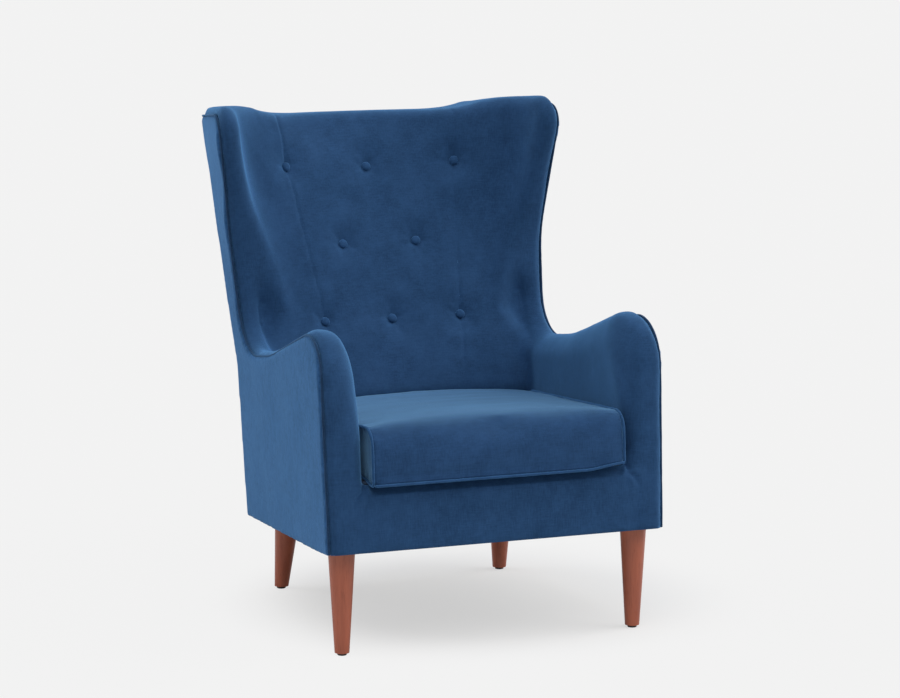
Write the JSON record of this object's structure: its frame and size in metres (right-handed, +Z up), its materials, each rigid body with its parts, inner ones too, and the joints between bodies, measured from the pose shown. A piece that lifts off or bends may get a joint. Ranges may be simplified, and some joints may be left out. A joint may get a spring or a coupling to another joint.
{
  "type": "wing armchair",
  "caption": "Fixed velvet wing armchair with a buttoned back, scooped welted arms, a loose seat cushion and tapered wooden legs.",
  "frame": {"origin": "middle of the bounding box's footprint, on the floor under the leg glides", "axes": "+X towards the right-hand side seen from the front, -Y towards the front of the seat, +Z up"},
  "size_m": [0.7756, 0.8904, 1.0299],
  "materials": {
    "velvet": "blue cotton velvet",
    "piping": "velvet-covered cord",
    "buttons": "velvet-covered",
    "legs": "satin lacquered reddish brown",
    "frame_wood": "raw",
    "steel": "zinc plated",
    "glides": "moulded",
    "webbing": "elastic webbing",
    "deck_felt": "felt pad with cloth",
    "dust_cloth": "nonwoven",
    "foam": "open-cell foam",
    "zip_tape": "woven tape",
    "zip_metal": "satin"
  },
  "bodies": {
    "chair": {"arm_pad_left": "velvet", "arm_pad_right": "velvet", "wing_pad_left": "velvet", "wing_pad_right": "velvet", "back_pad": "velvet", "front_apron": "velvet", "outside_panel_left": "velvet", "outside_panel_right": "velvet", "outside_back": "velvet", "side_piping_left": "piping", "side_piping_right": "piping", "back_buttons": "buttons", "front_leg_left": "legs", "front_leg_right": "legs", "rear_leg_left": "legs", "rear_leg_right": "legs", "side_frame_left": "frame_wood", "side_frame_right": "frame_wood", "arm_post_left": "frame_wood", "arm_post_right": "frame_wood", "back_post_left": "frame_wood", "back_post_right": "frame_wood", "front_rail": "frame_wood", "rear_rail": "frame_wood", "side_rail_left": "frame_wood", "side_rail_right": "frame_wood", "crest_rail": "frame_wood", "lumbar_rail": "frame_wood", "waist_rail": "frame_wood", "corner_blocks": "frame_wood", "leg_bolts": "steel", "leg_inserts": "steel", "leg_glides": "glides", "webbing_long": "webbing", "webbing_cross": "webbing", "deck_pad": "deck_felt", "dust_cover": "dust_cloth"},
    "cushion": {"cushion_cover": "velvet", "cushion_foam": "foam", "cushion_piping_left": "piping", "cushion_piping_right": "piping", "cushion_piping_front": "piping", "cushion_zip": "zip_tape"},
    "slider": {"zip_slider": "zip_metal"}
  },
  "joints": [
    {"name": "cushion_lift", "type": "slide", "parent": "chair", "child": "cushion", "axis": [0, -0.7071, 0.7071], "range_m": [0, 0.75]},
    {"name": "zip_slide", "type": "slide", "parent": "cushion", "child": "slider", "axis": [1, 0, 0], "range_m": [0, 0.27]}
  ]
}
